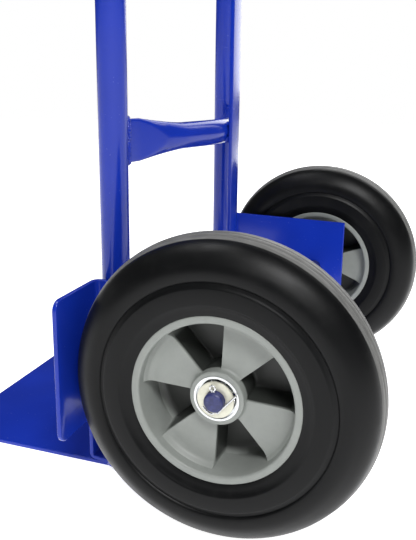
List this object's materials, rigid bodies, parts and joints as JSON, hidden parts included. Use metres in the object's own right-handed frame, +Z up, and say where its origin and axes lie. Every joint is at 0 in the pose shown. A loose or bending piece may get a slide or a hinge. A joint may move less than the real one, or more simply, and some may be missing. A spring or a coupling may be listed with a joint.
{
  "type": "hand truck",
  "caption": "Two-wheel upright hand truck with bowed crossbars, a centre strap, a bent toe plate, wheel guards and solid rubber tyres on ball bearings.",
  "frame": {"origin": "on the floor, on the middle plane, halfway between the toe plate's front edge and the back of the tyres", "axes": "+Z up, -Y the way the toe plate points, +X the user's left when the user stands behind the handles"},
  "size_m": [0.48, 0.445, 1.255],
  "materials": {
    "blue_paint": "gloss powder coat",
    "axle_paint": "satin dark blue paint",
    "tyre_rubber": "satin moulded rubber",
    "hub_plastic": "satin moulded plastic",
    "grip_vinyl": "matte vinyl",
    "zinc_washer": "yellowish zinc plate",
    "zinc_steel": "zinc plate",
    "bearing_steel": "polished steel"
  },
  "bodies": {
    "frame": {"toe_plate": "blue_paint", "left_side_tube": "blue_paint", "right_side_tube": "blue_paint", "bottom_crossbar": "blue_paint", "lower_crossbar": "blue_paint", "upper_crossbar": "blue_paint", "top_crossbar": "blue_paint", "centre_strap": "blue_paint", "left_axle_bracket": "blue_paint", "right_axle_bracket": "blue_paint", "axle": "axle_paint", "left_grip": "grip_vinyl", "right_grip": "grip_vinyl", "left_axle_spacer": "zinc_steel", "right_axle_spacer": "zinc_steel", "left_inner_washer": "zinc_washer", "right_inner_washer": "zinc_washer", "left_outer_washer": "zinc_washer", "right_outer_washer": "zinc_washer", "left_cotter_pin": "zinc_steel", "right_cotter_pin": "zinc_steel", "left_outer_bearing_cone": "bearing_steel", "right_outer_bearing_cone": "bearing_steel", "left_inner_bearing_cone": "bearing_steel", "right_inner_bearing_cone": "bearing_steel"},
    "left_wheel": {"left_tyre": "tyre_rubber", "left_hub": "hub_plastic", "left_outer_bearing_cup": "bearing_steel", "left_inner_bearing_cup": "bearing_steel", "left_outer_bearing_balls": "bearing_steel", "left_inner_bearing_balls": "bearing_steel"},
    "right_wheel": {"right_tyre": "tyre_rubber", "right_hub": "hub_plastic", "right_outer_bearing_cup": "bearing_steel", "right_inner_bearing_cup": "bearing_steel", "right_outer_bearing_balls": "bearing_steel", "right_inner_bearing_balls": "bearing_steel"}
  },
  "joints": [
    {"name": "left_wheel_spin", "type": "hinge", "parent": "frame", "child": "left_wheel", "pos_m": [0.209, 0.0955, 0.127], "axis": [1, 0, 0], "continuous": true},
    {"name": "right_wheel_spin", "type": "hinge", "parent": "frame", "child": "right_wheel", "pos_m": [-0.209, 0.0955, 0.127], "axis": [1, 0, 0], "continuous": true}
  ]
}
